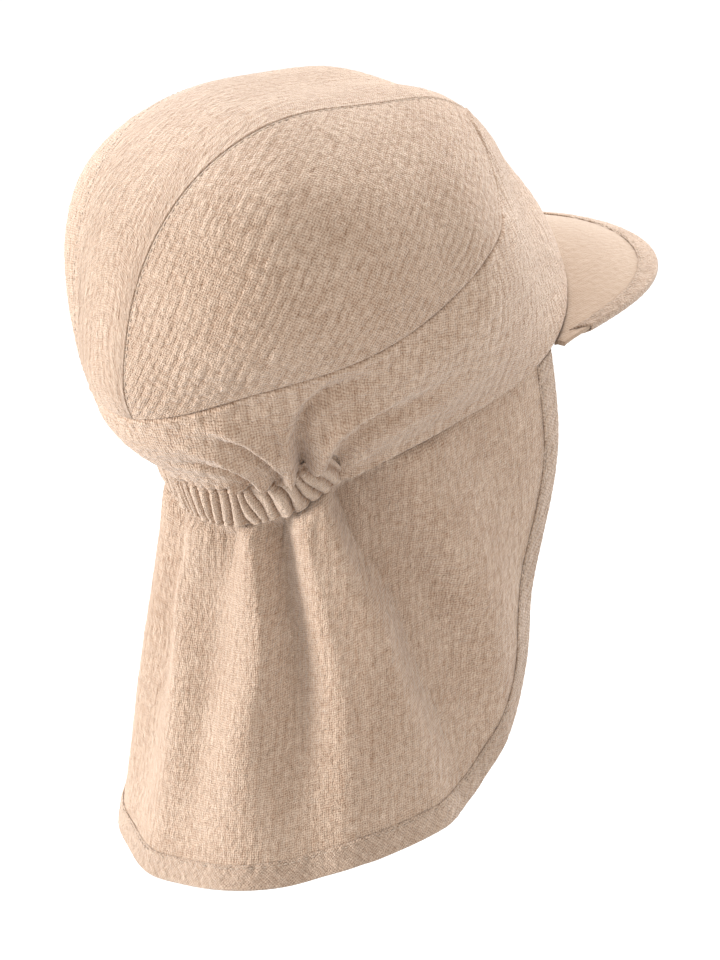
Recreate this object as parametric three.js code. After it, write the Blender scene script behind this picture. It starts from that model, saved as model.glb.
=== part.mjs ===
// Child's legionnaire cap in crinkled cotton: a crown of three panels, a deep head band, an elastic
// casing at the nape, a bound peak and a bound neck flap.
// Millimetres, +Z up, the peak towards -Y and the wearer's right towards -X. The origin is the inside
// of the crown's top, where the cap sits on the head.
import * as THREE from 'three';
import { mergeVertices } from 'three/addons/utils/BufferGeometryUtils.js';

// Cloth thicknesses and clearances
const clothWall = 1.6;
const casingWall = 2.2;
const flapWall = 1.0;
const peakWall = 1.7;
const tapeWall = 0.8;
const seamGap = 0.3;
const tuckGap = 0.8;

// Crown, from its centre to the forehead, the temples, the back of the head and the top
const crownFront = 98;
const crownSide = 80;
const crownBack = 97;
const crownRise = 73;
const stripFrontHalf = 34;
const stripBackHalf = 10.5;
const stripLeftExtra = 14;
const stripTaperFrom = 80;
const stripTaperTo = 200;
const bandPuff = 2.5;
const puffFullBy = 0.35;
const puffFadesFrom = 0.6;
const puffGoneBy = 0.95;

// Elastic casing at the nape
const casingHeight = 15.2;
const casingEndTop = 128.8;
const casingEndSlant = 5.9;
const casingEndBottom = casingEndTop - casingEndSlant;
const casingEndGap = 0.45;
const casingGathers = 18;
const gatherHeight = 1.8;
const gatherAtEdge = 0.25;
const puckerHeight = 1.8;
const puckerFrom = 0.35;
const puckerBlend = 4;

// Peak
const peakReach = 42;
const peakHalfWidth = 67;
const peakEndAngle = 47;
const peakTipDrop = 2.5;
const peakArch = 2.5;
const peakEdgeBow = 0.7;
const peakEdgeRise = 0.5;

// Neck flap, and the tape that binds its edge and the peak's
const flapDrop = 139;
const flapEndAngle = 49.5;
const flapLeanBack = 17;
const flapCorner = 43;
const leanFrom = 0.2;
const leanTo = 0.65;
const flapFlare = 24;
const flareBend = 1.2;
const flapBelly = 7;
const flapTilt = 5;
const flapTuck = 5;
const flapArcRadius = 80;
const insetFrom = 8;
const insetBy = 2;
const foldHeight = 6;
const foldFullBy = 0.35;
const foldFadesFrom = 0.45;
const foldFade = 0.7;
const bindingWidth = 9;
const bindingStart = 2;

// How finely each piece is faceted
const stripColumns = 5;
const stripRows = 17;
const panelColumns = 14;
const panelRows = 7;
const bandRows = 5;
const casingRows = 3;
const columnsPerGather = 5;
const peakColumns = 32;
const peakRows = 5;
const frontEdgeSteps = 8;
const cornerSteps = 7;
const hemSteps = 20;
const flapRowsDown = 8;

// Crown radius at each latitude, as shares of the four crown sizes. The corner columns say how much
// fuller the diagonal directions are than an ellipse.
const crownRows = [
  { latitude: -60, front: 1.06, side: 1.03, back: 1.15, frontCorner: 0.07, backCorner: 0.05 },
  { latitude: -50, front: 1.08, side: 1.00, back: 1.00, frontCorner: 0.07, backCorner: 0.05 },
  { latitude: -43, front: 1.09, side: 0.985, back: 0.945, frontCorner: 0.065, backCorner: 0.02 },
  { latitude: -28, front: 1.10, side: 0.965, back: 0.995, frontCorner: 0.045, backCorner: -0.02 },
  { latitude: -15, front: 1.07, side: 0.97, back: 1.035, frontCorner: 0.015, backCorner: -0.03 },
  { latitude: 0, front: 1.00, side: 1.00, back: 1.00, frontCorner: -0.08, backCorner: 0.055 },
  { latitude: 25, front: 0.84, side: 1.06, back: 0.96, frontCorner: -0.12, backCorner: 0.10 },
  { latitude: 50, front: 0.80, side: 1.05, back: 0.905, frontCorner: 0.01, backCorner: 0.03 },
];

// Latitude of the cap's lower edge and of the seam over the band, by angle from the forehead
const rimRows = [
  { around: 0, latitude: 0 },
  { around: 40, latitude: -10 },
  { around: 75, latitude: -26 },
  { around: 110, latitude: -38.8 },
  { around: 140, latitude: -49 },
  { around: 180, latitude: -52.4 },
];
const bandSeamRows = [
  { around: 0, latitude: 52 },
  { around: 30, latitude: 52 },
  { around: 45, latitude: 51 },
  { around: 54, latitude: 48 },
  { around: 60, latitude: 36 },
  { around: 66, latitude: 27.5 },
  { around: 84, latitude: 15.5 },
  { around: 107, latitude: 2 },
  { around: 144, latitude: -10.8 },
  { around: 165, latitude: -17 },
  { around: 180, latitude: -19 },
];

// How far the band stands proud of the crown, as a share of its puff
const puffRows = [
  { around: 0, share: 0.7 },
  { around: 50, share: 0.8 },
  { around: 90, share: 1.0 },
  { around: 130, share: 0.8 },
  { around: 180, share: 0.9 },
];

// Neck flap: length, flare at the hem and belly at half length by angle from the forehead, as shares
// of the flap's own
const flapRows = [
  { around: 49, drop: 0.98, flare: 0.0, belly: 1.0 },
  { around: 90, drop: 1.06, flare: 0.58, belly: 0.4 },
  { around: 130, drop: 1.05, flare: 0.97, belly: 0.0 },
  { around: 152, drop: 1.005, flare: 1.06, belly: 0.0 },
  { around: 180, drop: 1.005, flare: 1.05, belly: 0.0 },
];

// Folds of the flap: angle from the forehead at the rim and at the hem, half width in degrees, and
// height as a share of the fold height, ridges up and valleys down. A minus side is the wearer's left.
const foldRows = [
  { side: 1, top: 105, hem: 65, width: 8, height: 0.8 },
  { side: 1, top: 88, hem: 62, width: 6, height: -0.3 },
  { side: 1, top: 127, hem: 87, width: 8, height: -1.0 },
  { side: 1, top: 140, hem: 114, width: 8, height: 0.9 },
  { side: 1, top: 149, hem: 143, width: 5, height: -0.7 },
  { side: 1, top: 157, hem: 160, width: 5, height: 0.7 },
  { side: 1, top: 174, hem: 169, width: 5, height: -0.7 },
  { side: -1, top: 171, hem: 174, width: 5, height: 0.5 },
  { side: -1, top: 163, hem: 162, width: 4, height: -0.4 },
  { side: -1, top: 156, hem: 154, width: 5, height: 0.5 },
  { side: -1, top: 146, hem: 143, width: 6, height: 0.8 },
  { side: -1, top: 134, hem: 122, width: 8, height: 0.5 },
  { side: -1, top: 124, hem: 95, width: 8, height: -0.9 },
  { side: -1, top: 92, hem: 70, width: 8, height: 0.7 },
];

// Plain helpers
const { degToRad, radToDeg, lerp, clamp, smoothstep } = THREE.MathUtils;
const fromZero = (count) => Array.from({ length: count + 1 }, (_, index) => index / count);
const offFront = (theta) => Math.abs(((radToDeg(theta) + 540) % 360) - 180);

// A smooth curve through the rows of a table, flat at an end where asked
function curve(rows, place, column, flatStart = true, flatEnd = true) {
  const x = rows.map((row) => row[place]);
  const y = rows.map((row) => row[column]);
  const last = rows.length - 1;
  const rise = (i) => (y[i + 1] - y[i]) / (x[i + 1] - x[i]);
  const slopes = rows.map((_, i) => {
    if (i === 0) return flatStart ? 0 : rise(0);
    if (i === last) return flatEnd ? 0 : rise(last - 1);
    const before = x[i] - x[i - 1];
    const after = x[i + 1] - x[i];
    return (rise(i - 1) * after + rise(i) * before) / (before + after);
  });
  return (value) => {
    const at = clamp(value, x[0], x[last]);
    let i = 0;
    while (i < last - 1 && at > x[i + 1]) i += 1;
    const step = x[i + 1] - x[i];
    const t = (at - x[i]) / step;
    const near = (1 + 2 * t) * (1 - t) ** 2 * y[i] + t * (1 - t) ** 2 * step * slopes[i];
    const far = t * t * (3 - 2 * t) * y[i + 1] + t * t * (t - 1) * step * slopes[i + 1];
    return near + far;
  };
}

// One closed body from columns of { outer, inner } points, open or joined around
function shell(columns, around = false) {
  const corners = [];
  const quad = (a, b, c, d) => corners.push(a, b, c, a, c, d);
  const spans = around ? columns.length : columns.length - 1;
  const last = columns[0].length - 1;
  for (let i = 0; i < spans; i += 1) {
    const here = columns[i];
    const next = columns[(i + 1) % columns.length];
    for (let j = 0; j < last; j += 1) {
      quad(here[j].outer, next[j].outer, next[j + 1].outer, here[j + 1].outer);
      quad(here[j].inner, here[j + 1].inner, next[j + 1].inner, next[j].inner);
    }
    quad(here[0].outer, here[0].inner, next[0].inner, next[0].outer);
    quad(here[last].outer, next[last].outer, next[last].inner, here[last].inner);
  }
  if (!around) {
    const first = columns[0];
    const end = columns[columns.length - 1];
    for (let j = 0; j < last; j += 1) {
      quad(first[j].outer, first[j + 1].outer, first[j + 1].inner, first[j].inner);
      quad(end[j].outer, end[j].inner, end[j + 1].inner, end[j + 1].outer);
    }
  }
  return closedGeometry(corners);
}

// One closed body swept through rings of a tape's section, closed at each end. The last inner side's
// faces are split the way the sheet's faces beside them are.
const lastInnerSide = 6;

function sweep(rings) {
  const corners = [];
  const sides = rings[0].length;
  for (let i = 0; i + 1 < rings.length; i += 1) {
    const [here, next] = [rings[i], rings[i + 1]];
    for (let j = 0; j < sides; j += 1) {
      const k = (j + 1) % sides;
      if (j === lastInnerSide) {
        corners.push(here[j], next[j], here[k], here[k], next[j], next[k]);
      } else {
        corners.push(here[j], next[j], next[k], here[j], next[k], here[k]);
      }
    }
  }
  const tape = [[0, 1, 6, 7], [1, 2, 5, 6], [2, 3, 4, 5]];
  const end = rings[rings.length - 1];
  for (const [a, b, c, d] of tape) {
    corners.push(rings[0][a], rings[0][b], rings[0][c], rings[0][a], rings[0][c], rings[0][d]);
    corners.push(end[a], end[c], end[b], end[a], end[d], end[c]);
  }
  return closedGeometry(corners);
}

// Merges the corners of a triangle list, drops collapsed triangles and turns the faces outwards
function closedGeometry(corners) {
  const loose = new THREE.BufferGeometry().setFromPoints(corners);
  const merged = mergeVertices(loose, 1e-3);
  const index = merged.index.array;
  const place = merged.getAttribute('position');
  const point = (i) => new THREE.Vector3().fromBufferAttribute(place, i);
  const kept = [];
  let volume = 0;
  for (let i = 0; i < index.length; i += 3) {
    const [a, b, c] = [index[i], index[i + 1], index[i + 2]];
    if (a !== b && b !== c && c !== a) {
      kept.push([a, b, c]);
      volume += point(a).dot(point(b).cross(point(c)));
    }
  }
  const outwards = volume > 0 ? kept : kept.map(([a, b, c]) => [a, c, b]);
  const geometry = new THREE.BufferGeometry();
  geometry.setAttribute('position', place);
  geometry.setIndex(outwards.flat());
  geometry.computeVertexNormals();
  return geometry;
}

// The crown's outer surface. A direction is a unit vector from the crown's centre; theta goes round
// from the forehead towards the wearer's left, and phi is the latitude.
const crownCentre = new THREE.Vector3(0, 0, clothWall - crownRise);
const topRow = { latitude: 90, front: 1, side: 1, back: 1, frontCorner: 0, backCorner: 0 };
const sized = [...crownRows, topRow].map((row) => ({
  latitude: row.latitude,
  front: row === topRow ? crownRise : row.front * crownFront,
  side: row === topRow ? crownRise : row.side * crownSide,
  back: row === topRow ? crownRise : row.back * crownBack,
  frontCorner: row.frontCorner,
  backCorner: row.backCorner,
}));
const crownColumn = (column) => curve(sized, 'latitude', column, false, true);
const frontRadius = crownColumn('front');
const sideRadius = crownColumn('side');
const backRadius = crownColumn('back');
const frontCorner = crownColumn('frontCorner');
const backCorner = crownColumn('backCorner');

function direction(theta, phi) {
  const level = Math.cos(phi);
  return new THREE.Vector3(level * Math.sin(theta), -level * Math.cos(theta), Math.sin(phi));
}

function anglesOf(dir) {
  return { theta: Math.atan2(dir.x, -dir.y), phi: Math.atan2(dir.z, Math.hypot(dir.x, dir.y)) };
}

function crownRadius(dir) {
  const { theta, phi } = anglesOf(dir);
  const latitude = radToDeg(phi);
  const ahead = Math.cos(theta) > 0;
  const lengthways = ahead ? frontRadius(latitude) : backRadius(latitude);
  const fullness = ahead ? frontCorner(latitude) : backCorner(latitude);
  const round = 1 / Math.hypot(Math.cos(theta) / lengthways, Math.sin(theta) / sideRadius(latitude));
  return round * (1 + fullness * Math.sin(2 * theta) ** 2);
}

function onCrown(dir) {
  return dir.clone().multiplyScalar(crownRadius(dir)).add(crownCentre);
}

function crownNormal(dir) {
  const nudge = 0.002;
  const level = Math.abs(dir.z) < 0.9 ? new THREE.Vector3(0, 0, 1) : new THREE.Vector3(1, 0, 0);
  const first = new THREE.Vector3().crossVectors(level, dir).normalize();
  const second = new THREE.Vector3().crossVectors(dir, first);
  const slope = (axis) => {
    const ahead = onCrown(dir.clone().addScaledVector(axis, nudge).normalize());
    return ahead.sub(onCrown(dir.clone().addScaledVector(axis, -nudge).normalize()));
  };
  return slope(first).cross(slope(second)).normalize();
}

// A point of a wall on the crown: its outer and inner face, lifted off the crown's surface
function wallPoint(dir, lift, wall) {
  const place = onCrown(dir);
  const normal = crownNormal(dir);
  return {
    outer: place.clone().addScaledVector(normal, lift),
    inner: place.clone().addScaledVector(normal, lift - wall),
  };
}

// Seam lines, in radians of latitude, and the elastic casing's edges
const rimLatitude = curve(rimRows, 'around', 'latitude');
const seamLatitude = curve(bandSeamRows, 'around', 'latitude');
const rimPhi = (theta) => degToRad(rimLatitude(offFront(theta)));
const seamPhi = (theta) => degToRad(seamLatitude(offFront(theta)));
const spread = (length, theta, phi) => length / crownRadius(direction(theta, phi));
const casingTopPhi = (theta) => rimPhi(theta) + spread(casingHeight, theta, rimPhi(theta));

// Half the seam's gap as a change of latitude, larger where the seam runs steeply
function seamShift(theta) {
  const phi = seamPhi(theta);
  const nudge = 0.02;
  const steep = (seamPhi(theta + nudge) - seamPhi(theta - nudge)) / (2 * nudge * Math.cos(phi));
  return spread(seamGap / 2, theta, phi) * Math.hypot(1, steep);
}

// Where the band ends: on the rim, or on the casing's slanted end and top edge
function bandLowPhi(theta) {
  const towards = clamp((offFront(theta) - casingEndBottom) / (casingEndTop - casingEndBottom), 0, 1);
  const top = casingTopPhi(theta) + spread(seamGap, theta, casingTopPhi(theta));
  return lerp(rimPhi(theta), top, towards);
}

// Centre panel: a strip across the crown from the band's seam in front to the band's seam behind.
// Its half width is measured across, and tapers from the top of the crown to the nape. The cap sits
// turned a little, so the strip reaches further on the wearer's left.
function stripHalf(angle, side) {
  const half = lerp(stripFrontHalf, stripBackHalf, smoothstep(angle, stripTaperFrom, stripTaperTo));
  return side > 0 ? half + stripLeftExtra : half;
}

// Direction of the point at a sagittal angle, 0 ahead and 90 at the top, a distance across
function acrossCrown(angle, across) {
  const turn = degToRad(angle);
  const dir = new THREE.Vector3(0, -Math.cos(turn), Math.sin(turn));
  let sideways = 0;
  for (let pass = 0; pass < 10; pass += 1) {
    const aim = new THREE.Vector3(sideways, dir.y, dir.z);
    sideways = across * aim.length() / crownRadius(aim.clone().normalize());
  }
  return new THREE.Vector3(sideways, dir.y, dir.z).normalize();
}

// Where a line along the crown, at a share of the strip's half width on one side, meets the band's seam
const crownTop = 90;
const aheadOfSeam = 10;
const behindSeam = 215;

function seamMeet(side, share, beyond, extra) {
  let [above, below] = [crownTop, beyond];
  const across = (angle) => acrossCrown(angle, side * share * (stripHalf(angle, side) + extra));
  for (let pass = 0; pass < 30; pass += 1) {
    const middle = (above + below) / 2;
    const { theta, phi } = anglesOf(across(middle));
    [above, below] = phi > seamPhi(theta) + seamShift(theta) ? [middle, below] : [above, middle];
  }
  return { angle: above, around: offFront(anglesOf(across(above)).theta) };
}

// The seam's meeting points on one side: the strip's lines, the side panel's two ends, and the angles
// from the forehead of the panel's columns, which the band's columns share
const stripShares = fromZero(stripColumns);

function meetingPoints(side) {
  const front = seamMeet(side, 1, aheadOfSeam, seamGap / 2);
  const back = seamMeet(side, 1, behindSeam, seamGap / 2);
  return {
    front,
    back,
    stripFront: stripShares.map((share) => seamMeet(side, share, aheadOfSeam, -seamGap / 2)),
    stripBack: stripShares.map((share) => seamMeet(side, share, behindSeam, -seamGap / 2)),
    stations: [
      ...fromZero(panelColumns).map((s) => lerp(front.around, casingEndBottom, s)),
      ...fromZero(panelColumns).map((s) => lerp(casingEndTop, back.around, s)),
    ],
  };
}

const right = meetingPoints(-1);
const left = meetingPoints(1);

function centrePanel() {
  const line = (side, meets) => (share, at) => fromZero(stripRows).map((s) => {
    const angle = lerp(meets.stripFront[at].angle, meets.stripBack[at].angle, s);
    const dir = acrossCrown(angle, side * share * (stripHalf(angle, side) - seamGap / 2));
    return wallPoint(dir, 0, clothWall);
  });
  const rightLines = stripShares.map(line(-1, right)).slice(1).reverse();
  return shell([...rightLines, ...stripShares.map(line(1, left))]);
}

// Side panel: between the strip's seam and the band's seam, pointed where the two meet
function sidePanel(side) {
  const { front, back, stations } = side > 0 ? left : right;
  const columns = stations.map((around) => {
    const s = (around - front.around) / (back.around - front.around);
    const angle = lerp(front.angle, back.angle, s);
    const upper = acrossCrown(angle, side * (stripHalf(angle, side) + seamGap / 2));
    const theta = side * degToRad(around);
    const pointed = s === 0 || s === 1;
    const lower = pointed ? upper : direction(theta, seamPhi(theta) + seamShift(theta));
    return fromZero(panelRows).map((t) => wallPoint(upper.clone().lerp(lower, t).normalize(), 0, clothWall));
  });
  return shell(columns);
}

// Band: round the head from the panels' seam to the rim, puffed out a little below the seam and
// puckered above the casing
const puffShare = curve(puffRows, 'around', 'share');

function bandLift(theta, down) {
  const around = offFront(theta);
  const puff = smoothstep(down, 0, puffFullBy) * (1 - smoothstep(down, puffFadesFrom, puffGoneBy));
  const gathered = smoothstep(around, casingEndBottom - puckerBlend, casingEndTop + puckerBlend);
  const wave = 0.5 + 0.5 * Math.cos((degToRad(around) - Math.PI) * casingGathers * 0.5);
  const pucker = gathered * smoothstep(down, puckerFrom, 1) * wave;
  return bandPuff * puffShare(around) * puff + puckerHeight * pucker;
}

function headBand() {
  const half = (meets) => [
    ...meets.stripFront.slice(0, -1).map((meet) => meet.around),
    ...meets.stations,
    ...meets.stripBack.slice(0, -1).reverse().map((meet) => meet.around),
  ];
  const rightHalf = half(right).slice(1, -1).reverse().map((around) => 360 - around);
  const columns = [...half(left), ...rightHalf].map((around) => {
    const theta = degToRad(around);
    const high = seamPhi(theta) - seamShift(theta);
    const low = bandLowPhi(theta);
    const aboveTuck = 1 - spread(flapTuck, theta, low) / (high - low);
    return [...fromZero(bandRows).map((t) => t * aboveTuck), 1].map((down) => (
      wallPoint(direction(theta, lerp(high, low, down)), bandLift(theta, down), clothWall)
    ));
  });
  return shell(columns, true);
}

// Casing: the ruched strip that holds the elastic, gathered most half way down
function elasticCasing() {
  const columns = fromZero(casingGathers * columnsPerGather).map((s) => fromZero(casingRows).map((down) => {
    const endAngle = lerp(casingEndTop, casingEndBottom, down) + casingEndGap;
    const theta = degToRad(lerp(endAngle, 360 - endAngle, s));
    const phi = lerp(casingTopPhi(theta), rimPhi(theta), down);
    const wave = 0.5 - 0.5 * Math.cos(2 * Math.PI * casingGathers * s);
    const lift = gatherHeight * wave * lerp(gatherAtEdge, 1, Math.sin(Math.PI * down));
    return wallPoint(direction(theta, phi), lift, casingWall);
  }));
  return shell(columns);
}

// Peak: its root follows the rim just under the band, and its free edge runs from one end over the
// tip to the other
function peakRoot(share) {
  const theta = degToRad(share * peakEndAngle);
  const phi = rimPhi(theta);
  const seat = wallPoint(direction(theta, phi), 0, clothWall).inner;
  return seat.add(new THREE.Vector3(0, 0, -seamGap));
}

const peakEnd = peakRoot(1);
const peakTip = peakRoot(0).add(new THREE.Vector3(0, -peakReach, -peakTipDrop));

function peakEdge(share) {
  const turn = share * Math.PI / 2;
  const inFront = Math.max(Math.cos(turn), 0);
  const x = Math.abs(share) === 1 ? peakEnd.x : peakHalfWidth * Math.sin(Math.abs(turn));
  return new THREE.Vector3(
    Math.sign(share) * x,
    lerp(peakEnd.y, peakTip.y, inFront ** peakEdgeBow),
    lerp(peakEnd.z, peakTip.z, inFront ** peakEdgeRise),
  );
}

// A point on the peak's upper face, by share along the edge and distance back from the edge
function peakSurface(share, back) {
  const root = peakRoot(share);
  const edge = peakEdge(share);
  const length = Math.max(root.distanceTo(edge), 0.01);
  const t = 1 - back / length;
  const arch = peakArch * Math.sin(Math.PI * clamp(t, 0, 1)) * Math.cos(share * Math.PI / 2);
  return root.lerp(edge, t).add(new THREE.Vector3(0, 0, arch));
}

const peakShares = fromZero(peakColumns).map((s) => Math.sin(lerp(-1, 1, s) * Math.PI / 2));
const peakDepth = (share) => peakRoot(share).distanceTo(peakEdge(share));
const leastBoundDepth = 1.4 * bindingWidth;
const boundShares = peakShares.filter((share) => peakDepth(share) > leastBoundDepth);

function peak() {
  const columns = peakShares.map((share) => {
    const depth = peakDepth(share);
    const strip = Math.min(bindingWidth, depth / 2);
    const backs = [...fromZero(peakRows).map((t) => lerp(depth, strip, t)), 0];
    return backs.map((back) => {
      const top = peakSurface(share, back);
      return { outer: top, inner: top.clone().add(new THREE.Vector3(0, 0, -peakWall)) };
    });
  });
  return shell(columns);
}

// Tape folded over an edge: its eight-sided section stands round the sheet, open on the sheet's side.
// The sheet gives a place and a normal for each distance back from the edge.
function tapeRing(sheetAt, middle, wall) {
  const free = wall / 2 + seamGap;
  const full = free + tapeWall;
  const section = [
    [bindingWidth, full], [-seamGap - tapeWall, full], [-seamGap - tapeWall, -full], [bindingWidth, -full],
    [bindingWidth, -free], [-seamGap, -free], [-seamGap, free], [bindingWidth, free],
  ];
  return section.map(([back, height]) => {
    const { place, normal } = sheetAt(back);
    return place.clone().addScaledVector(normal, middle + height);
  });
}

function peakBinding() {
  const rings = boundShares.map((share) => {
    const upright = new THREE.Vector3(0, 0, 1);
    const sheetAt = (back) => ({ place: peakSurface(share, back), normal: upright });
    return tapeRing(sheetAt, -peakWall / 2, peakWall);
  });
  return sweep(rings);
}

// Neck flap. Its cloth is laid out flat by arc, the distance from the middle of the nape, and by
// fall, the distance below the rim; fall is negative where it is tucked up behind the band.
const flapDropShare = curve(flapRows, 'around', 'drop');
const flapFlareShare = curve(flapRows, 'around', 'flare');
const flapBellyShare = curve(flapRows, 'around', 'belly');
const arcTheta = (arc) => Math.PI + arc / flapArcRadius;
const thetaArc = (degrees) => degToRad(180 - degrees) * flapArcRadius;

function foldLift(theta, share) {
  const around = offFront(theta);
  const side = Math.sin(theta) < 0 ? 1 : -1;
  const reach = smoothstep(share, 0, foldFullBy) * (1 - foldFade * smoothstep(share, foldFadesFrom, 1));
  const sum = foldRows.reduce((total, fold) => {
    const middle = lerp(fold.top, fold.hem, share);
    const across = fold.side === side ? around - middle : 360 - around - middle;
    return total + fold.height * Math.exp(-((across / fold.width) ** 2));
  }, 0);
  return foldHeight * reach * sum;
}

// Middle surface of the flap's cloth
function flapSurface(arc, fall) {
  const theta = arcTheta(arc);
  const around = offFront(theta);
  const gathered = smoothstep(around, casingEndBottom - insetFrom, casingEndBottom - insetBy);
  const inset = lerp(clothWall, casingWall, gathered) + tuckGap + flapWall / 2;
  const up = spread(Math.max(-fall, 0), theta, rimPhi(theta));
  const place = wallPoint(direction(theta, rimPhi(theta) + up), -inset, 0).outer;
  if (fall <= 0) return place;
  const share = fall / flapDrop;
  const flare = flapFlare * flapFlareShare(around) * share ** flareBend;
  const belly = flapBelly * flapBellyShare(around) * Math.sin(Math.PI * Math.min(share, 1)) * (1 - share);
  const out = flare + Math.max(belly, 0) + foldLift(theta, share);
  const outwards = new THREE.Vector3(place.x, place.y, 0).normalize();
  place.addScaledVector(outwards, out);
  place.z -= fall * lerp(1, flapDropShare(around), Math.min(share * 2, 1));
  place.z += flapTilt * share * Math.sin(2 * theta);
  return place;
}

function flapPoint(arc, fall) {
  const nudge = 0.3;
  const along = flapSurface(arc + nudge, fall).sub(flapSurface(arc - nudge, fall));
  const down = flapSurface(arc, fall + nudge).sub(flapSurface(arc, fall - nudge));
  return { place: flapSurface(arc, fall), normal: along.cross(down).normalize() };
}

// The flap's free edge, laid flat, on one side: down the front, round the corner, then along the hem.
// Each station has its place on the edge and the way inwards.
const flapFront = thetaArc(flapEndAngle);
const cornerStart = flapDrop - flapCorner;
const frontArc = (fall) => flapFront - flapLeanBack * smoothstep(fall / flapDrop, leanFrom, leanTo);
const cornerMiddle = flapFront - flapLeanBack - flapCorner;

function flapStations() {
  const tucked = { arc: flapFront, fall: -flapTuck, inArc: -1, inFall: 0 };
  const straight = [0, ...fromZero(frontEdgeSteps).map((t) => lerp(bindingStart, cornerStart, t))];
  const frontEdge = straight.map((fall) => ({ arc: frontArc(fall), fall, inArc: -1, inFall: 0 }));
  const corner = fromZero(cornerSteps).slice(1).map((t) => {
    const turn = t * Math.PI / 2;
    const [inArc, inFall] = [-Math.cos(turn), -Math.sin(turn)];
    return { arc: cornerMiddle - flapCorner * inArc, fall: cornerStart - flapCorner * inFall, inArc, inFall };
  });
  const hem = fromZero(hemSteps).slice(1).map((t) => (
    { arc: cornerMiddle * (1 - t), fall: flapDrop, inArc: 0, inFall: -1 }
  ));
  const half = [tucked, ...frontEdge, ...corner, ...hem];
  const mirrored = half.slice(0, -1).reverse().map((at) => ({ ...at, arc: -at.arc, inArc: -at.inArc }));
  return [...half, ...mirrored];
}

const flapEdge = flapStations();
const sideStations = 2 + frontEdgeSteps + cornerSteps;

function neckFlap() {
  const topEnd = flapFront - bindingWidth;
  const columns = flapEdge.map((at, index) => {
    const fromEnd = Math.min(index, flapEdge.length - 1 - index);
    const along = Math.min(fromEnd / sideStations, 1);
    const topArc = fromEnd < sideStations ? lerp(topEnd, cornerMiddle, along) * Math.sign(at.arc) : at.arc;
    const ring = { arc: at.arc + at.inArc * bindingWidth, fall: at.fall + at.inFall * bindingWidth };
    const rim = Math.min(ring.fall, 0);
    const below = fromZero(flapRowsDown).map((t) => [lerp(topArc, ring.arc, t), lerp(rim, ring.fall, t)]);
    return [[topArc, -flapTuck], ...below, [at.arc, at.fall]].map(([arc, fall]) => {
      const { place, normal } = flapPoint(arc, fall);
      return {
        outer: place.clone().addScaledVector(normal, flapWall / 2),
        inner: place.clone().addScaledVector(normal, -flapWall / 2),
      };
    });
  });
  return shell(columns);
}

function flapBinding() {
  const rings = flapEdge.filter((at) => at.fall >= bindingStart).map((at) => {
    const sheetAt = (back) => flapPoint(at.arc + at.inArc * back, at.fall + at.inFall * back);
    return tapeRing(sheetAt, 0, flapWall);
  });
  return sweep(rings);
}

// The cap
const cloth = (color) => new THREE.MeshStandardMaterial({ color, roughness: 0.95, metalness: 0 });
const panelCloth = cloth(0xdcc2ac);
const bandCloth = cloth(0xd8bca5);
const flapCloth = cloth(0xd2b59d);
const tapeCloth = cloth(0xcdae95);

function piece(name, geometry, material) {
  const mesh = new THREE.Mesh(geometry, material);
  mesh.name = name;
  return mesh;
}

const cap = new THREE.Group();
cap.add(
  piece('crown_centre_panel', centrePanel(), panelCloth),
  piece('crown_side_right', sidePanel(-1), panelCloth),
  piece('crown_side_left', sidePanel(1), panelCloth),
  piece('head_band', headBand(), bandCloth),
  piece('elastic_casing', elasticCasing(), bandCloth),
  piece('peak', peak(), panelCloth),
  piece('peak_binding', peakBinding(), tapeCloth),
  piece('neck_flap', neckFlap(), flapCloth),
  piece('flap_binding', flapBinding(), tapeCloth),
);

export default cap;
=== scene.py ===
"""Child's legionnaire cap in crinkled cotton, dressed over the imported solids.

Shapes are worked out in millimetres, with the same tables as the solids, and scaled to metres when a
mesh is made. A point of cloth carries its flat place, across and along the grain, as its UV map.
"""

import math

import bpy
import numpy as np
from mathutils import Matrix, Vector


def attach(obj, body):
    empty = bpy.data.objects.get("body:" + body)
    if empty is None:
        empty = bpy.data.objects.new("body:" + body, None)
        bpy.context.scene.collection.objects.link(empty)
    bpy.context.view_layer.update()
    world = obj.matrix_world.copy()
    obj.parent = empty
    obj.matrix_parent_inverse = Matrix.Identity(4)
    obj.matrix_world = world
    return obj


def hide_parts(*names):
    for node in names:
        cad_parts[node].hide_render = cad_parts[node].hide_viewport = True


MM = 0.001
UV_PER_MM = 0.01
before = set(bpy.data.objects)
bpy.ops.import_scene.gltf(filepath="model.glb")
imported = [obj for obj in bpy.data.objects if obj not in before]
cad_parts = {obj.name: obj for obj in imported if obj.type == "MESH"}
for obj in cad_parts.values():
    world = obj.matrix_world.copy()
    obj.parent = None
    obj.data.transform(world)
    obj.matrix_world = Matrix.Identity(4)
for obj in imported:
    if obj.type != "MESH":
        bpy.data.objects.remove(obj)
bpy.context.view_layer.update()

# Camera
LENS_MM = 100.0
CAMERA_AZIMUTH = 233.2
CAMERA_ELEVATION = 17.26
CAMERA_ROLL = -0.71
CAMERA_DISTANCE = 987.8
CAMERA_AIM = (0.0, 0.0, -83.4)
CAMERA_SHIFT = (0.0331, -0.1775)


def viewing_direction(azimuth, elevation):
    a, e = math.radians(azimuth), math.radians(elevation)
    return Vector((math.sin(a) * math.cos(e), -math.cos(a) * math.cos(e), math.sin(e)))


def make_camera():
    data = bpy.data.cameras.new("camera")
    camera = bpy.data.objects.new("camera", data)
    bpy.context.scene.collection.objects.link(camera)
    back = viewing_direction(CAMERA_AZIMUTH, CAMERA_ELEVATION)
    camera.location = (Vector(CAMERA_AIM) + back * CAMERA_DISTANCE) * MM
    camera.rotation_euler = (-back).to_track_quat("-Z", "Y").to_euler()
    camera.rotation_euler.rotate_axis("Z", math.radians(CAMERA_ROLL))
    data.lens = LENS_MM
    data.sensor_width = 36.0
    data.shift_x, data.shift_y = CAMERA_SHIFT
    data.clip_start, data.clip_end = 0.05, 20.0
    bpy.context.scene.camera = camera


make_camera()

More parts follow.
